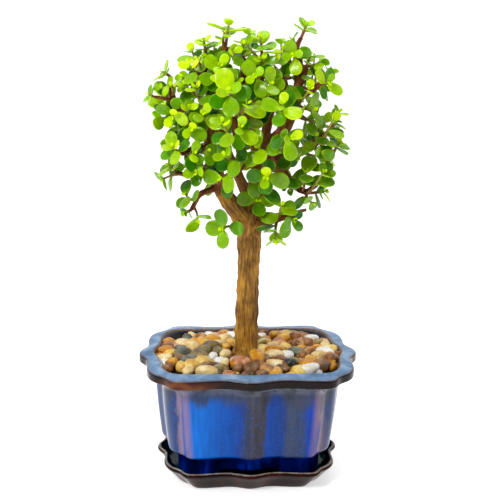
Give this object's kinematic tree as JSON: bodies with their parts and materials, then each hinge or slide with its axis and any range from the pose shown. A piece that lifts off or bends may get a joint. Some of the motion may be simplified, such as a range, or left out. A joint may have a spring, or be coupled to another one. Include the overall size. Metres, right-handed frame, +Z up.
{
  "type": "potted jade plant",
  "caption": "Small-leaved jade tree with a bare woody trunk and a round leafy crown, in a lobed blue-glazed pot topped with river pebbles, on a matching dark saucer.",
  "frame": {"origin": "centre of the saucer's underside, on the surface the saucer stands on", "axes": "+Z up along the trunk; X along the pot's long way, through its two ears; -Y is the pot's front"},
  "size_m": [0.152, 0.1276, 0.3122],
  "materials": {
    "saucer_glaze": "dark brown-black glazed stoneware, glossy",
    "blue_glaze": "cobalt blue glazed stoneware, breaking brown and slate on edges, glossy",
    "soil": "dark granular potting soil, matte",
    "screen_plastic": "black plastic mesh, matte",
    "bark": "brown fissured bark, rough",
    "jade_leaf": "thick waxy green leaf, satin gloss",
    "pebble_mix": "mixed tumbled river stone, satin",
    "pebble_pink": "salmon pink tumbled river stone, satin",
    "pebble_amber": "amber tumbled river stone, satin",
    "pebble_cream": "cream tumbled river stone, satin",
    "pebble_white": "white quartz tumbled river stone, satin",
    "pebble_black": "black tumbled river stone, satin",
    "pebble_honey": "honey yellow tumbled river stone, satin",
    "pebble_tan": "tan tumbled river stone, satin",
    "pebble_grey": "grey tumbled river stone, satin"
  },
  "bodies": {
    "root": {"branch_back_left": "jade_leaf", "branch_back_middle": "jade_leaf", "branch_back_right": "jade_leaf", "branch_front_left": "jade_leaf", "branch_front_right": "jade_leaf", "branch_inner": "jade_leaf", "branch_low_left": "jade_leaf", "branch_low_right": "jade_leaf", "branch_middle_left": "jade_leaf", "branch_right": "jade_leaf", "branch_side_left": "jade_leaf", "branch_top_centre": "jade_leaf", "branch_top_left": "jade_leaf", "branch_upper_left": "jade_leaf", "branch_upper_right": "jade_leaf", "drain_screen_left": "screen_plastic", "drain_screen_right": "screen_plastic", "pebble_amber": "pebble_amber", "pebble_bed": "pebble_mix", "pebble_black": "pebble_black", "pebble_cream": "pebble_cream", "pebble_grey": "pebble_grey", "pebble_honey": "pebble_honey", "pebble_pink": "pebble_pink", "pebble_tan": "pebble_tan", "pebble_white": "pebble_white", "pot": "blue_glaze", "saucer": "saucer_glaze", "shoot_fork_sprig": "jade_leaf", "shoot_leader_back_sprig": "jade_leaf", "shoot_leader_front_sprig": "jade_leaf", "shoot_leader_mass_sprig": "jade_leaf", "shoot_leader_mid_sprig": "jade_leaf", "shoot_leader_sprig": "jade_leaf", "shoot_leader_top_sprig": "jade_leaf", "shoot_limb_back_low_sprig": "jade_leaf", "shoot_limb_back_sprig": "jade_leaf", "shoot_limb_front_sprig": "jade_leaf", "shoot_limb_high_sprig": "jade_leaf", "shoot_limb_left_sprig": "jade_leaf", "shoot_limb_lower_sprig": "jade_leaf", "shoot_limb_mass_sprig": "jade_leaf", "shoot_limb_outer_sprig": "jade_leaf", "shoot_limb_side_sprig": "jade_leaf", "shoot_limb_tip_sprig": "jade_leaf", "shoot_limb_upper_sprig": "jade_leaf", "shoot_right_back_sprig": "jade_leaf", "shoot_right_front_sprig": "jade_leaf", "shoot_right_high_sprig": "jade_leaf", "shoot_right_low_sprig": "jade_leaf", "shoot_right_lower_sprig": "jade_leaf", "shoot_right_mass_sprig": "jade_leaf", "shoot_right_side_sprig": "jade_leaf", "shoot_stub_sprig": "jade_leaf", "shoot_top_right_bud": "jade_leaf", "shoot_top_right_sprig": "jade_leaf", "soil": "soil", "trunk": "bark"}
  },
  "joints": []
}
